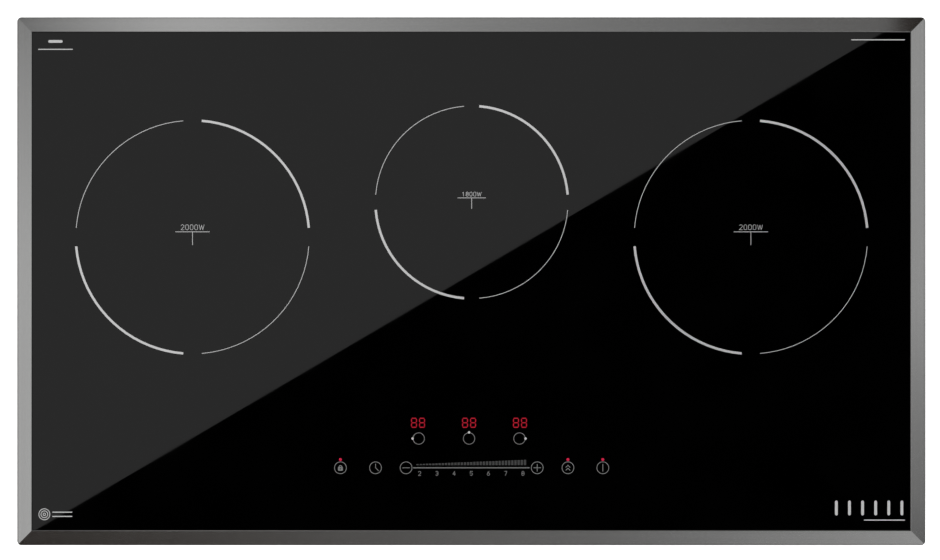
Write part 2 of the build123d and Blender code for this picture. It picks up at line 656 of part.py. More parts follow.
def wire(route, radius):
    """A wire of straight runs and tangent arcs, each arc as large as its two runs allow."""
    arcs = []
    for a, b, c in zip(route, route[1:], route[2:]):
        first = Vector(*b) - Vector(*a)
        second = Vector(*c) - Vector(*b)
        half_turn = radians(first.get_angle(second)) / 2
        arcs.append(0.45 * min(first.length, second.length) / tan(half_turn))
    path = FilletPolyline(*route, radius=arcs)
    print("bend radii", [round(arc, 1) for arc in arcs], "wire", 2 * radius)
    return sweep(Plane(origin=path @ 0, z_dir=path % 0) * Circle(radius), path)


def lead(route):
    """A litz lead with a flat connector on its end."""
    x, y, z = route[-1]
    return wire(route, LITZ / 2) + block((x - 1.6, x + 1.6), (y - 3.4, y + 3.4), (z - 2, z + 10))


def winding(name, at, outer, inner):
    """A flat spiral of litz wire, its turns drawn as concentric ridges, with two leads."""
    turns = round((outer - inner) / TURN)
    pitch = (outer - inner) / turns
    middle = (WINDING[0] + WINDING[1]) / 2
    half = (WINDING[1] - WINDING[0]) / 2
    upper = []
    for i in range(turns):
        upper += [(inner + i * pitch, middle + half * 0.6), (inner + (i + 0.5) * pitch, middle + half)]
    upper.append((outer, middle + half * 0.6))
    lower = [(r, 2 * middle - z) for r, z in reversed(upper)]
    turned = revolve(Plane.XZ * make_face(Polyline(*upper, *lower, close=True)), Axis.Z)
    first, second = lead_routes(name, at, outer)
    save(f"coil_{name}_winding", Pos(*at) * turned + lead(first) + lead(second))


def ferrite_count(outer):
    return 8 if outer > 90 else 6


def former(name, at, outer, inner):
    """The moulded carrier: a disc with windows, rims, ferrite troughs and three guide tabs."""
    body = disc(outer + 3, FORMER_BASE) + disc(outer + 3, (FORMER_BASE[1], -1.6))
    body = body - disc(outer + 1, (FORMER_BASE[1], 0))
    body = body + disc(inner - 1, (FERRITE_BOTTOM, 0)) - disc(9.3, (FERRITE_BOTTOM, 0))
    count = ferrite_count(outer)
    window = extrude(SlotOverall((outer - inner) * 0.62, WINDOW_WIDTH), FORMER_BASE[1] - FORMER_BASE[0])
    window = Pos((outer + inner) / 2, 0, FORMER_BASE[0]) * window
    for i in range(count):
        body = body - Rot(0, 0, (i + 0.5) * 360 / count) * window
    for i in range(count):
        turn = Rot(0, 0, i * 360 / count)
        for side in (-1, 1):
            y = sorted((side * (FERRITE_WIDTH / 2 + 0.1), side * (FERRITE_WIDTH / 2 + 0.1 + RIB)))
            body = body + turn * block((inner + 6, outer - 2), y, (FERRITE_BOTTOM + 2, FORMER_BASE[0]))
    for angle in TAB_ANGLES:
        turn = Rot(0, 0, angle)
        reach = outer + 10
        arm = block((outer, reach), (-TAB_RADIUS, TAB_RADIUS), FORMER_BASE)
        arm = arm + disc(TAB_RADIUS, FORMER_BASE, (reach, 0))
        body = body + turn * (arm - disc(outer + 2, FORMER_BASE))
        body = body - turn * disc(GUIDE_HOLE, FORMER_BASE, (reach, 0))
    save(f"coil_{name}_former", Pos(*at) * body)


def ferrites(name, at, outer, inner):
    """Radial ferrite bars in the former's troughs."""
    bar = block((inner + 6, outer - 3), (-FERRITE_WIDTH / 2, FERRITE_WIDTH / 2),
                (FERRITE_BOTTOM + 0.4, FORMER_BASE[0]))
    count = ferrite_count(outer)
    save(f"coil_{name}_ferrites", *[Pos(*at) * Rot(0, 0, i * 360 / count) * bar for i in range(count)])


def sensor(name, at):
    """The thermal sensor in its silicone cup, pressed up against the glass with the coil."""
    cup = disc(9.2, (-7, 0.5)) + disc(12, (0.5, 1.8)) + disc(5, (1.8, 2.9))
    save(f"coil_{name}_sensor", Pos(*at) * cup)


def coil_springs(name, at, outer):
    """Three compression springs around the guide screws, between the tray and the tabs."""
    foot = TRAY[1] + SPRING_WIRE / 2
    height = FORMER_BASE[0] - SPRING_WIRE / 2 - foot
    helix = Helix(pitch=height / SPRING_TURNS, height=height, radius=SPRING_RADIUS)
    spring = sweep(Plane(origin=helix @ 0, z_dir=helix % 0) * Circle(SPRING_WIRE / 2), helix, is_frenet=True)
    places = [Rot(0, 0, angle) * Pos(outer + 10, 0, foot) for angle in TAB_ANGLES]
    save(f"coil_{name}_springs", *[Pos(*at) * place * spring for place in places])


def mica_sheets():
    """Insulating discs under the glass, one over each winding."""
    save("mica_sheets", *[disc(outer + 1, (GLASS[0] - 0.5, GLASS[0]), at) - disc(13, (0, GLASS[0]), at)
                          for _, at, outer, _ in coil_places()])


def guide_spots():
    spots = []
    for _, at, outer, _ in coil_places():
        reach = outer + 10
        spots += [(at[0] + reach * cos(radians(a)), at[1] + reach * sin(radians(a))) for a in TAB_ANGLES]
    return spots


def guide_screws():
    """Shoulder screws standing on the tray, which the coil carriers slide down."""
    head, low, high = GUIDE_HEAD
    save("guide_screws", *[disc(GUIDE, (TRAY[0] - 1.5, low), at) + disc(head, (low, high), at)
                           for at in guide_spots()])


def coil_tray():
    """The aluminium sheet that carries the coils, with folded tabs and legs."""
    tray = slab(2 * TRAY_X, TRAY_Y[1] - TRAY_Y[0], 4, TRAY, (0, (TRAY_Y[0] + TRAY_Y[1]) / 2))
    face = WALL_X - SHEET
    for side in (-1, 1):
        for y in TRAY_TABS:
            span = (y - 20, y + 20)
            tray = tray + block(sorted((side * (TRAY_X - 6), side * face)), span, TRAY)
            tray = tray + block(sorted((side * (face - 1), side * face)), span, (TRAY_SCREW_Z - 7, TRAY[1]))
            tray = tray - Pos(side * face, y, TRAY_SCREW_Z) * Rot(0, 90, 0) * Cylinder(SCREW_HOLE, 6)
    for x, y, inward in LEG_SPOTS:
        span = (x - LEG[0] / 2, x + LEG[0] / 2)
        tray = tray + block(span, sorted((y, y + inward)), (FLOOR, TRAY[1]))
        tray = tray + block(span, sorted((y, y + inward * LEG[1])), (FLOOR, FLOOR + 1))
    holes = [disc(GUIDE + 0.1, TRAY, at) for at in guide_spots()]
    for name, at, outer, _ in coil_places():
        route, other = lead_routes(name, at, outer)
        x = (route[-1][0] + other[-1][0]) / 2
        y = (route[-1][1] + other[-1][1]) / 2
        holes.append(slab(18, 26, 4, TRAY, (x, y)))
        holes.append(disc(14, TRAY, at))
    save("coil_tray", tray - holes)


# ---- the electronics ----

def boards():
    """The two inverter boards, the mains filter board and the spacers under them."""
    spacers = []
    layout = (("power_board_left", (-BOARD_AT[0], BOARD_AT[1]), BOARD_SIZE),
              ("power_board_right", BOARD_AT, BOARD_SIZE),
              ("filter_board", FILTER_AT, FILTER_SIZE))
    for node, at, size in layout:
        board = slab(size[0], size[1], 3, BOARD, at)
        for sx in (-1, 1):
            for sy in (-1, 1):
                corner = (at[0] + sx * (size[0] / 2 - 6), at[1] + sy * (size[1] / 2 - 6))
                spacers.append(disc(3.5, (FLOOR, BOARD[0]), corner))
                board = board - disc(1.8, BOARD, corner)
        save(node, board)
    save("board_spacers", *spacers)


def heat_sink(side):
    """An extruded block: a base with a ledge for the transistors, and fins along the air's path."""
    x = sorted((side * (SINK_X - SINK_SIZE[0] / 2), side * (SINK_X + SINK_SIZE[0] / 2)))
    low = BLOWER_AT[1] - SINK_SIZE[1] / 2
    high = BLOWER_AT[1] + SINK_SIZE[1] / 2
    top = BOARD[1] + SINK_BASE
    sink = block(x, (low, high), (BOARD[1], top))
    pitch = (SINK_SIZE[1] - 24 - FIN) / (FINS - 1)
    for i in range(FINS):
        sink = sink + block(x, (low + i * pitch, low + i * pitch + FIN), (top, SINK_TOP))
    return sink


def on_board(width, depth, height, at):
    """A plain housing standing on a board."""
    return slab(width, depth, 1, (BOARD[1], BOARD[1] + height), at)


def toroid(outer, inner, at):
    """A wound ring core as high as its radius."""
    z = (BOARD[1], BOARD[1] + outer)
    return disc(outer, z, at) - disc(inner, z, at)


def power_parts():
    """Heat sinks, transistors, film capacitors and chokes on the boards."""
    transistors = []
    capacitors = []
    chokes = []
    ledge_y = BLOWER_AT[1] + SINK_SIZE[1] / 2 - 11
    package = (BOARD[1] + SINK_BASE, BOARD[1] + SINK_BASE + 5)
    for side, name in ((-1, "left"), (1, "right")):
        save(f"heat_sink_{name}", heat_sink(side))
        for i in range(-1, 2):
            x = side * SINK_X + 28 * i
            transistors.append(block((x - 8, x + 8), (ledge_y - 10, ledge_y + 10), package))
        for i in range(4):
            x = side * (300 + 22 * (i % 2))
            y = -36 + 40 * (i // 2)
            capacitors.append(on_board(16, 32, 19, (x, y)))
        chokes += [toroid(13, 6, (side * 362, y)) for y in (28, 80)]
    chokes.append(toroid(16, 8, (FILTER_AT[0] - 40, FILTER_AT[1])))
    capacitors += [on_board(14, 28, 17, (FILTER_AT[0] + x, FILTER_AT[1])) for x in (10, 40)]
    save("power_transistors", *transistors)
    save("capacitors", *capacitors)
    save("chokes", *chokes)


def wiring():
    """Two mains leads from the terminals to the filter board, and the ribbon to the controls."""
    wires = []
    for i in range(2):
        y = 164 - 7 * i
        wires.append(wire([(296 - 14 * i, 174.4, -40), (290 - 14 * i, y - 8, -40), (256, y - 14, -41),
                           (222, y, -42.9)], MAINS_WIRE / 2))
    ribbon = FilletPolyline((-52, -43.8), (-97, -43.8), (-97, -11), (-116, -11), radius=6)
    band = extrude(Plane.YZ * SlotArc(ribbon.wire(), 1.0), 8, both=True)
    save("wiring_harness", *wires, Pos(138, 0, 0) * band)


def control_unit():
    """The touch controls under the glass: holder, board, displays and contact springs."""
    half_x = CONTROL_SIZE[0] / 2 + 4
    half_y = CONTROL_SIZE[1] / 2 + 4
    y = (CONTROL_Y - half_y, CONTROL_Y + half_y)
    bottom = CONTROL_BOARD[0] - 6
    holder = block((-half_x, half_x), y, (bottom, GLASS[0]))
    holder = holder - block((2 - half_x, half_x - 2), (y[0] + 2, y[1] - 2), (bottom + 2, GLASS[0]))
    holder = holder - block((128, 148), (y[1] - 4, y[1] + 4), (-12.5, -9.5))
    for sx in (-1, 0, 1):
        for sy in (-1, 1):
            post = (sx * (CONTROL_SIZE[0] / 2 - 8), CONTROL_Y + sy * (CONTROL_SIZE[1] / 2 - 8))
            holder = holder + disc(3, (bottom, CONTROL_BOARD[0]), post)
    save("control_holder", holder)
    save("control_board", slab(CONTROL_SIZE[0], CONTROL_SIZE[1], 2, CONTROL_BOARD, (0, CONTROL_Y)))
    z = (CONTROL_BOARD[1], GLASS[0] - 0.8)
    save("display_modules", *[slab(22, 14, 1, z, (x, DISPLAY_ROW)) for x in DISPLAY_X])
    wire = 0.5
    height = GLASS[0] - CONTROL_BOARD[1] - wire
    helix = Helix(pitch=height / 4, height=height, radius=3.6)
    contact = sweep(Plane(origin=helix @ 0, z_dir=helix % 0) * Circle(wire / 2), helix, is_frenet=True)
    spots = [(x, KEY_ROW) for x in KEY_X.values()] + [(x, SELECTOR_ROW) for x in SELECTOR_X]
    spots += [(20 * i, KEY_ROW) for i in range(-2, 3)]
    save("touch_springs", *[Pos(px, py, CONTROL_BOARD[1] + wire / 2) * contact for px, py in spots])


# ---- the blowers ----

def blower(side, name):
    """A radial blower: scroll housing, motor under its roof, and the impeller."""
    at = Pos(side * BLOWER_AT[0], BLOWER_AT[1])
    half = BLOWER_SIZE / 2
    inside = (BLOWER[0] + BLOWER_WALL, BLOWER[1] - BLOWER_WALL)
    shell = slab(BLOWER_SIZE, BLOWER_SIZE, 10, BLOWER)
    shell = shell - disc(CHAMBER, inside) - disc(23, BLOWER)
    shell = shell + disc(23, (inside[1], BLOWER[1]))
    shell = shell - block(sorted((0, side * (half + 1))), (-CHAMBER, -4), inside)
    save(f"fan_{name}_housing", at * shell)
    stator = (-38.0, inside[1])
    save(f"fan_{name}_motor", at * (disc(10.5, stator) - disc(BEARING, stator)))
    hub_floor = -40.5
    roof = inside[1] - 1.2
    wheel = disc(13, (hub_floor, roof)) - disc(11.6, (hub_floor + 1.5, roof))
    wheel = wheel + disc(SHAFT, (hub_floor, roof))
    rim = (roof - 1.2, roof)
    wheel = wheel + disc(IMPELLER[1], rim) - (disc(11.6, rim) - disc(SHAFT, rim))
    low = BLOWER[0] + BLOWER_WALL + 1.2
    wheel = wheel + disc(IMPELLER[1], (low, low + 1.2)) - disc(IMPELLER[1] - 3, (low, low + 1.2))
    middle = (IMPELLER[0] + IMPELLER[1]) / 2
    reach = (IMPELLER[1] - IMPELLER[0]) / 2
    blade = Pos(middle, 0) * Rot(0, 0, side * 28) * block((-reach, reach - 0.6), (-0.45, 0.45), (low, roof))
    for i in range(BLADES):
        wheel = wheel + Rot(0, 0, i * 360 / BLADES) * blade
    save(f"fan_{name}_impeller", at * wheel)


def main():
    os.makedirs("parts", exist_ok=True)
    frame_rails()
    corner_keys()
    glass_and_joint()
    worktop_seal()
    zone_print()
    save("control_print", *control_print(), *corner_marks())
    display_lights()
    bottom_case()
    frame_brackets()
    case_screws()
    worktop_clips()
    mains_inlet()
    for name, at, outer, inner in coil_places():
        winding(name, at, outer, inner)
        former(name, at, outer, inner)
        ferrites(name, at, outer, inner)
        sensor(name, at)
        coil_springs(name, at, outer)
    mica_sheets()
    guide_screws()
    coil_tray()
    boards()
    power_parts()
    wiring()
    control_unit()
    blower(-1, "left")
    blower(1, "right")


main()
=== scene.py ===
import json
import math
import bpy
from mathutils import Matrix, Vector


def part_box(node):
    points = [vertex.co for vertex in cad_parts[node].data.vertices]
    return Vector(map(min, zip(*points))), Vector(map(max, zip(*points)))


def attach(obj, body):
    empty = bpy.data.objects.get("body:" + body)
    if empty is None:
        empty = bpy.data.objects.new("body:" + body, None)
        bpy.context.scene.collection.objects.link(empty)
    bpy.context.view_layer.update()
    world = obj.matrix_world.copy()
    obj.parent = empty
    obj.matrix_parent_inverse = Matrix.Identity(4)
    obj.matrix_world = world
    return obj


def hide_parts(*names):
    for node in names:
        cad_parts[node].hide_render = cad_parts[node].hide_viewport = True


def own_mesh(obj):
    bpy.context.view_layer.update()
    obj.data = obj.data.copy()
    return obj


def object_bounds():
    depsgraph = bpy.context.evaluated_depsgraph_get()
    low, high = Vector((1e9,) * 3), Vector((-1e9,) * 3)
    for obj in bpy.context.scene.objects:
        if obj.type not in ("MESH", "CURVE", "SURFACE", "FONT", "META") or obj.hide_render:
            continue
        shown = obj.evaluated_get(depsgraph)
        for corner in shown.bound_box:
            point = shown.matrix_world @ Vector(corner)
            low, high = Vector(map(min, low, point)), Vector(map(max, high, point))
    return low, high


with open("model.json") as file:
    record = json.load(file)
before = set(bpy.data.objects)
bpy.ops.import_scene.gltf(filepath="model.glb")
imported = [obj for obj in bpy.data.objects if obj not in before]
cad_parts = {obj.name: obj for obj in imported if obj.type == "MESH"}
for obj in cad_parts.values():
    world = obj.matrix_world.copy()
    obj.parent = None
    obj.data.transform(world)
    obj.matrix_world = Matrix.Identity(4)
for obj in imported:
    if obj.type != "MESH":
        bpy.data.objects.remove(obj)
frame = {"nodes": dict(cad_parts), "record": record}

# A built-in induction cooktop seen straight from above, as in a catalogue. Everything is in metres.

cad_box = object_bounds()
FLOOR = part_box("bottom_case")[0][2]
FRAME_X = cad_box[1][0]
FRAME_Y = cad_box[1][1]
GLASS_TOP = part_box("glass_top")[1][2]
NODES = frame["nodes"]
SLOT_OF = {part["node"]: part["material_slot"] for part in frame["record"]["subparts"]}


# ---- materials ----

def rgba(value):
    """An opaque grey from a number, or an opaque colour from a tuple; a node's output is left as it is."""
    if isinstance(value, bpy.types.NodeSocket):
        return value
    return (*value, 1.0) if isinstance(value, tuple) else (value, value, value, 1.0)


class Shader:
    """A material under construction: its Principled shader, and short calls for the nodes before it."""

    def __init__(self, name, **sockets):
        self.material = bpy.data.materials.new(name)
        self.material.use_nodes = True
        self.tree = self.material.node_tree
        self.shader = self.tree.nodes["Principled BSDF"]
        for socket, value in sockets.items():
            self.shader.inputs[socket.replace("_", " ")].default_value = value
        self.place = self.tree.nodes.new("ShaderNodeTexCoord").outputs["Object"]

    def put(self, socket, value):
        """Set an input of the node it belongs to, from a number, a tuple or another node's output."""
        if isinstance(value, bpy.types.NodeSocket):
            self.tree.links.new(value, socket)
        else:
            socket.default_value = value

    def to(self, socket, value):
        """Set an input of the Principled shader, by its name."""
        self.put(self.shader.inputs[socket], value)

    def math(self, operation, a, b=0.0):
        node = self.tree.nodes.new("ShaderNodeMath")
        node.operation = operation
        self.put(node.inputs[0], a)
        self.put(node.inputs[1], b)
        return node.outputs[0]

    def stretched(self, scale):
        """The object's own coordinates, scaled by a different amount along each axis."""
        node = self.tree.nodes.new("ShaderNodeMapping")
        self.put(node.inputs["Vector"], self.place)
        node.inputs["Scale"].default_value = scale
        return node.outputs[0]

    def noise(self, scale, detail=3.0, roughness=0.5, warp=0.0):
        """Noise over the object; scale is one number, or one for each axis, in cycles a metre."""
        node = self.tree.nodes.new("ShaderNodeTexNoise")
        if isinstance(scale, tuple):
            self.put(node.inputs["Vector"], self.stretched(scale))
            node.inputs["Scale"].default_value = 1.0
        else:
            self.put(node.inputs["Vector"], self.place)
            node.inputs["Scale"].default_value = scale
        node.inputs["Detail"].default_value = detail
        node.inputs["Roughness"].default_value = roughness
        node.inputs["Distortion"].default_value = warp
        return node.outputs["Fac"]

    def cells(self, scale, output="Color"):
        """Voronoi cells over the object, in cells a metre."""
        node = self.tree.nodes.new("ShaderNodeTexVoronoi")
        self.put(node.inputs["Vector"], self.place)
        node.inputs["Scale"].default_value = scale
        return node.outputs[output]

    def axis(self, name):
        """One coordinate of the object's own space."""
        node = self.tree.nodes.new("ShaderNodeSeparateXYZ")
        self.put(node.inputs[0], self.place)
        return node.outputs[name]

    def ramp(self, source, *stops):
        """A colour or grey that follows source; each stop is a place and a colour or a number."""
        node = self.tree.nodes.new("ShaderNodeValToRGB")
        self.put(node.inputs[0], source)
        elements = node.color_ramp.elements
        while len(elements) < len(stops):
            elements.new(0.5)
        for element, (place, value) in zip(elements, stops):
            element.position = place
            element.color = rgba(value)
        return node.outputs[0]

    def span(self, source, low, high, to_low=0.0, to_high=1.0):
        """source, mapped from one range to another and kept inside it."""
        node = self.tree.nodes.new("ShaderNodeMapRange")
        for socket, value in zip(node.inputs, (source, low, high, to_low, to_high)):
            self.put(socket, value)
        return node.outputs[0]

    def mix(self, factor, a, b):
        """Colour a where factor is 0, and colour b where it is 1."""
        node = self.tree.nodes.new("ShaderNodeMix")
        node.data_type = "RGBA"
        self.put(node.inputs[0], factor)
        for socket, value in zip(node.inputs[6:8], (a, b)):     # inputs 6 and 7 and output 2 are the colours
            self.put(socket, rgba(value))
        return node.outputs[2]

    def bump(self, height, depth, strength):
        """Relief on the surface, depth in metres."""
        node = self.tree.nodes.new("ShaderNodeBump")
        node.inputs["Strength"].default_value = strength
        node.inputs["Distance"].default_value = depth
        self.put(node.inputs["Height"], height)
        self.to("Normal", node.outputs[0])


EDGE_SHADE_HEIGHTS = (0.0028, 0.0036)   # heights between which the painted shade on the rails' low outer edge fades into the bevel


def brushed_frame(name, along):
    """Bevelled rail: fine brushing along its length, with painted shade darkening its low outer edge, and a
    soft haze.
    """
    m = Shader(name, Metallic=1.0, Anisotropic=0.95)
    fine = (6.0, 2600.0, 2600.0) if along == "X" else (2600.0, 6.0, 2600.0)
    broad = (2.0, 420.0, 420.0) if along == "X" else (420.0, 2.0, 420.0)
    lines = m.noise(fine, 4.0, 0.6)
    bands = m.noise(broad, 2.0, 0.5)
    both = m.math("ADD", m.math("MULTIPLY", lines, 0.6), m.math("MULTIPLY", bands, 0.4))
    steel = m.ramp(both, (0.3, (0.55, 0.55, 0.545)), (0.7, (0.61, 0.61, 0.605)))
    haze = m.noise(9.0, 3.0)
    steel = m.mix(m.span(haze, 0.35, 0.75, 0.0, 0.1), steel, (0.5, 0.49, 0.47))
    # painted shade: the base colour is darker below these heights, along the rail's outer edge
    painted_edge_shade = m.span(m.axis("Z"), *EDGE_SHADE_HEIGHTS, 1.0, 0.0)
    m.to("Base Color", m.mix(painted_edge_shade, steel, (0.36, 0.36, 0.355)))
    brushing = m.span(lines, 0.3, 0.7, 0.14, 0.18)
    m.to("Roughness", m.math("ADD", brushing, m.span(haze, 0.3, 0.8, 0.0, 0.03)))
    across = m.tree.nodes.new("ShaderNodeCombineXYZ")
    across.inputs["Y" if along == "X" else "X"].default_value = 1.0
    m.to("Tangent", across.outputs[0])
    m.bump(both, 0.00001, 0.4)
    return m.material


def black_glass():
    """Polished black glass ceramic: a mirror with the faintest wipe marks."""
    m = Shader("black_glass", IOR=1.5)
    wipe = m.noise((9.0, 26.0, 9.0), 4.0, 0.55, 0.6)
    m.to("Base Color", m.ramp(m.noise(14.0), (0.3, 0.0), (0.9, 0.0006)))
    m.to("Roughness", m.span(wipe, 0.35, 0.8, 0.004, 0.011))
    return m.material


def zone_ink():
    """Pale fired decor of the zones: grainy, with a metallic lustre that answers the light above it."""
    m = Shader("zone_ink", Metallic=0.37)
    grain = m.noise(5200.0, 2.0)
    worn = m.noise(30.0, 4.0, 0.6)
    m.to("Base Color", m.mix(m.span(worn, 0.5, 0.8, 0.0, 0.15), m.ramp(grain, (0.35, 0.6), (0.65, 0.7)), 0.5))
    m.to("Roughness", m.span(grain, 0.3, 0.7, 0.06, 0.1))
    return m.material


KEYS_REAR = -0.16               # the keys and their lights lie in front of this, the selectors behind it
MIDDLE_REACH = 0.0535           # nearer to the middle than this, where the scale is, the print is dimmer
BARS_FRONT = -0.1745
BARS_REAR = -0.1685
CORNERS_FROM = 0.3              # only the marks in the corners lie further from the middle
SELECTOR_DOTS = ((-0.0555, -0.1488), (-0.0021, -0.143), (0.0514, -0.1488))
DOT_RADIUS_SQUARED = 0.0000016


def control_ink():
    """Fired decor of the controls: keys, a dimmer middle, dim bars, and brighter dots and corner marks."""
    m = Shader("control_ink", Metallic=0.15)
    x, y = m.axis("X"), m.axis("Y")
    off_middle = m.math("ABSOLUTE", x)
    middle = m.math("LESS_THAN", off_middle, MIDDLE_REACH)
    bars = m.math("MULTIPLY", m.math("GREATER_THAN", y, BARS_FRONT), m.math("LESS_THAN", y, BARS_REAR))
    bright = m.math("GREATER_THAN", off_middle, CORNERS_FROM)
    for dot_x, dot_y in SELECTOR_DOTS:
        aside = m.math("POWER", m.math("SUBTRACT", x, dot_x), 2.0)
        ahead = m.math("POWER", m.math("SUBTRACT", y, dot_y), 2.0)
        dot = m.math("LESS_THAN", m.math("ADD", aside, ahead), DOT_RADIUS_SQUARED)
        bright = m.math("MAXIMUM", bright, dot)
    ink = m.mix(m.math("LESS_THAN", y, KEYS_REAR), 0.23, 0.19)
    ink = m.mix(middle, ink, 0.17)
    ink = m.mix(m.math("MULTIPLY", middle, bars), ink, 0.05)
    ink = m.mix(bright, ink, 0.58)
    grain = m.noise(5200.0, 2.0)
    m.to("Base Color", m.mix(m.span(grain, 0.4, 0.7, 0.0, 0.2), ink, 0.02))
    m.to("Roughness", m.span(grain, 0.3, 0.7, 0.15, 0.25))
    return m.material


def red_light():
    """The lit windows: deep red, a little uneven like light through tinted glass, with brighter dots."""
    m = Shader("red_light", IOR=1.5, Roughness=0.05, Base_Color=(0.02, 0.002, 0.003, 1.0),
               Emission_Strength=1.0)
    red = m.ramp(m.noise(900.0, 2.0), (0.3, (0.31, 0.008, 0.018)), (0.7, (0.41, 0.017, 0.034)))
    dots = m.math("LESS_THAN", m.axis("Y"), KEYS_REAR)
    m.to("Emission Color", m.mix(dots, red, (0.5, 0.017, 0.058)))
    return m.material


def foam():
    """Closed-cell foam tape, dark grey and finely pitted, with painted shade darkening the pits."""
    m = Shader("foam", IOR=1.4)
    pits = m.cells(1500.0, "Distance")
    # painted shade: the colour is darkest at the bottom of each pit
    m.to("Base Color", m.ramp(pits, (0.0, (0.012, 0.012, 0.013)), (0.6, (0.05, 0.05, 0.052))))
    m.to("Roughness", m.span(pits, 0.0, 0.6, 0.95, 0.8))
    m.bump(pits, 0.0003, 0.8)
    return m.material


def rubber(name, shade):
    """Moulded silicone or rubber with a faint bloom."""
    m = Shader(name, IOR=1.45)
    bloom = m.noise(60.0, 5.0)
    dark = tuple(0.75 * c for c in shade)
    m.to("Base Color", m.ramp(bloom, (0.3, dark), (0.7, shade)))
    m.to("Roughness", m.span(bloom, 0.3, 0.7, 0.55, 0.72))
    m.bump(m.noise(2400.0, 2.0), 0.00003, 0.6)
    return m.material


def galvanised():
    """Zinc-coated sheet: a spangle of crystals, with rolling marks and dulled patches."""
    m = Shader("galvanised", Metallic=0.85)
    spangle = m.tree.nodes.new("ShaderNodeRGBToBW")
    m.put(spangle.inputs[0], m.cells(150.0))
    rolled = m.noise((3.0, 160.0, 160.0), 4.0)
    dull = m.noise(7.0, 4.0, 0.6)
    tone = m.math("ADD", m.math("MULTIPLY", spangle.outputs[0], 0.55), m.math("MULTIPLY", rolled, 0.45))
    zinc = m.ramp(tone, (0.2, (0.3, 0.31, 0.325)), (0.8, (0.47, 0.48, 0.49)))
    m.to("Base Color", m.mix(m.span(dull, 0.4, 0.75, 0.0, 0.5), zinc, (0.29, 0.295, 0.3)))
    gloss = m.span(tone, 0.2, 0.8, 0.3, 0.44)
    m.to("Roughness", m.math("ADD", gloss, m.span(dull, 0.4, 0.8, 0.0, 0.12)))
    m.bump(tone, 0.00004, 0.4)
    return m.material


def satin_metal(name, low, high, rough, streak=(40.0, 40.0, 900.0)):
    """Plain worked metal: streaks, handling marks and slightly uneven gloss."""
    m = Shader(name, Metallic=1.0)
    lines = m.noise(streak, 4.0, 0.6)
    marks = m.noise(35.0, 5.0, 0.6)
    colour = m.ramp(lines, (0.3, low), (0.7, high))
    m.to("Base Color", m.mix(m.span(marks, 0.45, 0.8, 0.0, 0.3), colour, tuple(0.7 * c for c in low)))
    gloss = m.span(lines, 0.3, 0.7, rough, rough + 0.1)
    m.to("Roughness", m.math("ADD", gloss, m.span(marks, 0.4, 0.8, 0.0, 0.1)))
    m.bump(lines, 0.00002, 0.4)
    return m.material


def moulded(name, shade, rough=0.45):
    """Moulded plastic, or another dull solid, with a fine texture and small tone changes."""
    m = Shader(name, IOR=1.5)
    texture = m.noise(2600.0, 3.0, 0.6)
    tone = m.noise(22.0, 3.0)
    m.to("Base Color", m.ramp(tone, (0.3, tuple(0.8 * c for c in shade)), (0.7, shade)))
    gloss = m.span(texture, 0.3, 0.7, rough, rough + 0.15)
    m.to("Roughness", m.math("ADD", gloss, m.span(tone, 0.3, 0.7, 0.0, 0.05)))
    m.bump(texture, 0.00005, 0.5)
    return m.material


def circuit_board():
    """Green solder mask over copper tracks."""
    m = Shader("circuit_board", IOR=1.5)
    tracks = m.noise((900.0, 120.0, 1.0), 1.0)
    cross = m.noise((120.0, 900.0, 1.0), 1.0)
    both = m.math("MAXIMUM", m.math("GREATER_THAN", tracks, 0.58), m.math("GREATER_THAN", cross, 0.6))
    m.to("Base Color", m.mix(both, (0.012, 0.09, 0.035), (0.03, 0.16, 0.06)))
    m.to("Roughness", m.span(m.noise(300.0), 0.3, 0.7, 0.25, 0.4))
    m.bump(both, 0.00003, 0.4)
    return m.material


def litz():
    """Enamelled litz wire, its strands seen as small cells."""
    m = Shader("litz", Metallic=0.7)
    strands = m.cells(1400.0, "Distance")
    m.to("Base Color", m.ramp(strands, (0.0, (0.22, 0.07, 0.03)), (0.6, (0.62, 0.27, 0.12))))
    m.to("Roughness", m.span(strands, 0.0, 0.6, 0.3, 0.5))
    m.bump(strands, 0.0001, 0.6)
    return m.material


SLOT_MATERIALS = {
    "black_glass": black_glass(),
    "silicone": rubber("silicone", (0.02, 0.02, 0.021)),
    "foam": foam(),
    "zone_ink": zone_ink(),
    "control_ink": control_ink(),
    "red_light": red_light(),
    "galvanised": galvanised(),
    "spring_steel": satin_metal("spring_steel", (0.36, 0.36, 0.37), (0.5, 0.5, 0.51), 0.25),
    "zinc_screw": satin_metal("zinc_screw", (0.6, 0.61, 0.62), (0.74, 0.75, 0.76), 0.18,
                              (900.0, 900.0, 900.0)),
    "aluminium_sheet": satin_metal("aluminium_sheet", (0.68, 0.68, 0.69), (0.8, 0.8, 0.81), 0.28,
                                   (4.0, 500.0, 500.0)),
    "black_plastic": moulded("black_plastic", (0.022, 0.022, 0.023)),
    "grey_plastic": moulded("grey_plastic", (0.5, 0.5, 0.48)),
    "copper": litz(),
    "ferrite": moulded("ferrite", (0.045, 0.045, 0.05), 0.6),
    "silicone_white": rubber("silicone_white", (0.7, 0.7, 0.68)),
    "mica": moulded("mica", (0.52, 0.47, 0.38), 0.35),
    "circuit_board": circuit_board(),
    "component": moulded("component", (0.06, 0.06, 0.075), 0.25),
    "wire": moulded("wire", (0.25, 0.25, 0.27), 0.4),
}
BRUSHED_ALONG_X = brushed_frame("frame_metal_along", "X")
BRUSHED_ALONG_Y = brushed_frame("frame_metal_across", "Y")
RAIL_MATERIALS = {
    "trim_front": BRUSHED_ALONG_X,
    "trim_rear": BRUSHED_ALONG_X,
    "trim_left": BRUSHED_ALONG_Y,
    "trim_right": BRUSHED_ALONG_Y,
}

for node, piece in NODES.items():
    material = RAIL_MATERIALS.get(node) or SLOT_MATERIALS[SLOT_OF[node]]
    if not piece.material_slots:
        piece.data.materials.append(material)
    for place in piece.material_slots:
        place.material = material


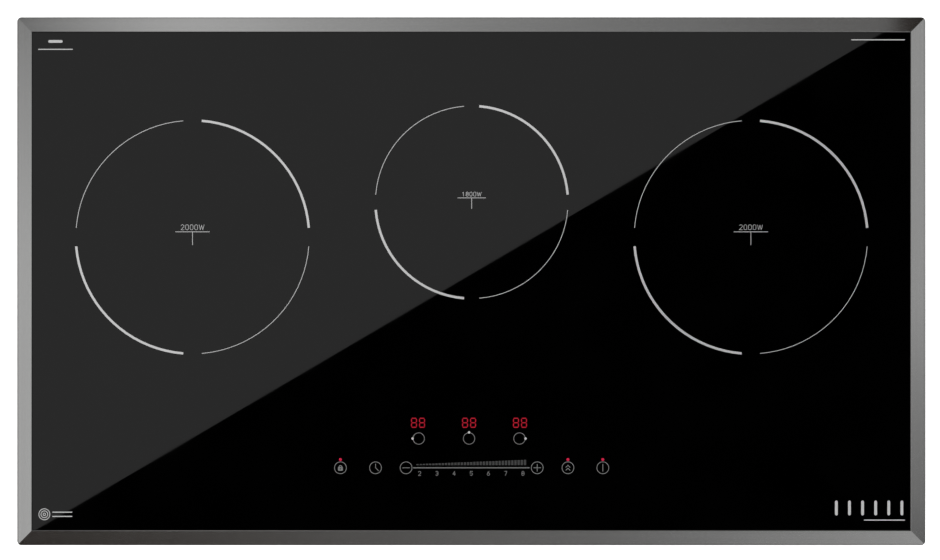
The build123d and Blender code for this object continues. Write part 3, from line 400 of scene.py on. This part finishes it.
def yielding_springs(coil):
    """The springs under one coil, as a copy of their mesh hung on the hob's body in place of the part."""
    node = f"coil_{coil}_springs"
    springs = bpy.data.objects.new(f"{node}_yielding", NODES[node].data.copy())
    bpy.context.scene.collection.objects.link(springs)
    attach(springs, "hob")
    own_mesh(springs)
    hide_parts(node)


for coil in ("left", "centre", "right"):
    yielding_springs(coil)


# ---- the stage: floor, light and camera ----

def emission(name, build):
    """A material that only glows; build makes the colour of its light with the Shader's own nodes."""
    m = Shader(name)
    glow = m.tree.nodes.new("ShaderNodeEmission")
    m.put(glow.inputs["Color"], rgba(build(m)))
    m.tree.links.new(glow.outputs[0], m.tree.nodes["Material Output"].inputs["Surface"])
    return m.material


def flat_piece(name, corners, material):
    """One flat polygon that belongs to the stage."""
    mesh = bpy.data.meshes.new(name)
    mesh.from_pydata(corners, [], [tuple(range(len(corners)))])
    mesh.materials.append(material)
    piece = bpy.data.objects.new(name, mesh)
    bpy.context.scene.collection.objects.link(piece)
    return piece


def square(reach, height):
    """The corners of a level square about the origin."""
    return [(reach * x, reach * y, height) for x, y in ((-1, -1), (1, -1), (1, 1), (-1, 1))]


def card(name, corners, build):
    """A studio card that shows in polished surfaces and nowhere else."""
    piece = flat_piece(name, corners, emission(name, build))
    piece.visible_camera = False
    piece.visible_diffuse = False
    piece.visible_transmission = False
    piece.visible_shadow = False


FLOOR_REACH = 30.0


def floor():
    """A pale light table, which keeps the ground round the object white."""
    m = Shader("floor", IOR=1.3, Roughness=0.9, Emission_Color=(1.0, 1.0, 1.0, 1.0), Emission_Strength=0.7)
    m.to("Base Color", m.ramp(m.noise(3.0, 2.0), (0.3, 0.87), (0.7, 0.9)))
    flat_piece("floor", square(FLOOR_REACH, FLOOR), m.material)


CAMERA_HEIGHT = 12.0
CAMERA_AT = (-0.0012, 0.0012)
SENSOR = 36.0                   # in millimetres, as the lens is
VIEW_WIDTH = 0.8901             # of the worktop that the picture takes in


def camera():
    """A long lens that looks straight down."""
    lens = bpy.data.cameras.new("camera")
    lens.sensor_width = SENSOR
    lens.lens = CAMERA_HEIGHT * SENSOR / VIEW_WIDTH
    lens.clip_end = 100.0
    eye = bpy.data.objects.new("camera", lens)
    eye.location = (*CAMERA_AT, CAMERA_HEIGHT)
    bpy.context.scene.collection.objects.link(eye)
    bpy.context.scene.camera = eye


def light_of(tone):
    """The light that a picture shows as that grey, from 0 to 255."""
    tone = tone / 255
    return tone / 12.92 if tone < 0.04045 else ((tone + 0.055) / 1.055) ** 2.4


def plain(tone):
    """A neutral grey, as red, green and blue."""
    return tone, tone, tone


def warm(tone):
    """A grey that turns slightly brown where it is dark."""
    shift = max(0.0, (100 - tone) / 50)
    return tone + 2 * shift, tone - shift, tone - 3 * shift


METAL = 0.565                   # how much of the light the brushed rails give back
CARD_GAP = 0.35                 # between the frame and a card
CARD_TOP = 1.3
CARD_OVERHANG = 0.5             # of a card past the frame, at each end
CARD_SPREAD = 1.04              # a rail mirrors a stretch of its card that is longer than itself


def side_card(name, along, side, tint, stops):
    """An upright card beside one rail. stops are places along the rail and the greys that it shows there."""
    reach = (FRAME_X if along == "X" else FRAME_Y) + CARD_OVERHANG
    away = (FRAME_Y if along == "X" else FRAME_X) + CARD_GAP

    def glow(m):
        tones = []
        for place, tone in stops:
            share = (CARD_SPREAD * place + reach) / (2 * reach)
            tones.append((share, tuple(light_of(value) / METAL for value in tint(tone))))
        return m.ramp(m.span(m.axis(along), -reach, reach), *tones)

    corners = []
    for a, z in ((-reach, FLOOR), (reach, FLOOR), (reach, CARD_TOP), (-reach, CARD_TOP)):
        corners.append((a, side * away, z) if along == "X" else (side * away, a, z))
    card(name, corners, glow)


# Each rail's greys along its length, from the left or from the front. The last stop of the rear card and the
# first of the front one are past the rails' ends, for views from the side.
SIDE_CARDS = (
    ("card_left", "Y", -1, plain,
     ((-0.25, 157), (0.02, 157), (0.077, 152), (0.17, 138), (0.22, 128), (0.25, 120))),
    ("card_right", "Y", 1, plain,
     ((-0.25, 88), (-0.226, 96), (-0.207, 103), (-0.16, 110), (-0.113, 119), (-0.065, 130), (-0.02, 138),
      (0.25, 138))),
    ("card_rear", "X", 1, warm,
     ((-0.43, 103), (-0.408, 116), (-0.35, 140), (-0.3, 154), (-0.257, 157), (-0.21, 152), (-0.162, 144),
      (0.0, 121), (0.122, 109), (0.217, 102), (0.31, 91), (0.37, 89), (0.399, 92), (0.405, 30), (0.46, 26),
      (0.5, 108))),
    ("card_front", "X", -1, warm,
     ((-0.5, 108), (-0.46, 36), (-0.43, 38), (-0.35, 47), (-0.257, 57), (-0.162, 69), (0.0, 83), (0.122, 93),
      (0.217, 107), (0.311, 122), (0.368, 130), (0.411, 136), (0.43, 140))),
)

FLAG_HEIGHT = CAMERA_HEIGHT + 0.9
FLAG_REACH = 2.6
WEDGE_HEIGHT = CAMERA_HEIGHT + 0.6
WEDGE_FROM = (-0.416, -0.2376)  # two points on the glass that the wedge's edge runs through
WEDGE_TO = (0.411, 0.2481)
WEDGE_SIDES = (-1.6, 1.2)
WEDGE_REAR = 2.2
WEDGE_TONE = 41
GLASS_MIRRORS = 0.04            # of the light that falls on the glass from straight above


def overhead_cards():
    """A black flag above the camera, and in front of it the card that the glass mirrors as a bright wedge."""
    card("flag", square(FLAG_REACH, FLAG_HEIGHT), lambda m: 0.0)
    grown = 1 + (WEDGE_HEIGHT - GLASS_TOP) / (CAMERA_HEIGHT - GLASS_TOP)
    slope = (WEDGE_TO[1] - WEDGE_FROM[1]) / (WEDGE_TO[0] - WEDGE_FROM[0])
    corners = []
    for x in WEDGE_SIDES:
        x_glass = CAMERA_AT[0] + (x - CAMERA_AT[0]) / grown
        y_glass = WEDGE_FROM[1] + slope * (x_glass - WEDGE_FROM[0])
        corners.append((x, CAMERA_AT[1] + (y_glass - CAMERA_AT[1]) * grown, WEDGE_HEIGHT))
    corners += [(x, WEDGE_REAR, WEDGE_HEIGHT) for x in reversed(WEDGE_SIDES)]
    card("wedge_card", corners, lambda m: light_of(WEDGE_TONE) / GLASS_MIRRORS)


def sky():
    """Even white light from all round."""
    world = bpy.data.worlds.new("studio")
    world.use_nodes = True
    background = world.node_tree.nodes["Background"]
    background.inputs["Color"].default_value = (1.0, 1.0, 1.0, 1.0)
    background.inputs["Strength"].default_value = 0.85
    bpy.context.scene.world = world


def key_light():
    """One broad soft light from the front left, which gives the side walls and screws their form."""
    lamp = bpy.data.lights.new("key", "AREA")
    lamp.shape = "SQUARE"
    lamp.size = 1.6
    lamp.energy = 45.0
    key = bpy.data.objects.new("key", lamp)
    key.location = (-2.0, -2.2, 2.4)
    key.rotation_euler = (math.radians(51), 0.0, math.radians(-42))
    key.visible_glossy = False
    bpy.context.scene.collection.objects.link(key)


bpy.context.scene.view_settings.view_transform = "Standard"
floor()
camera()
sky()
key_light()
overhead_cards()
for one in SIDE_CARDS:
    side_card(*one)
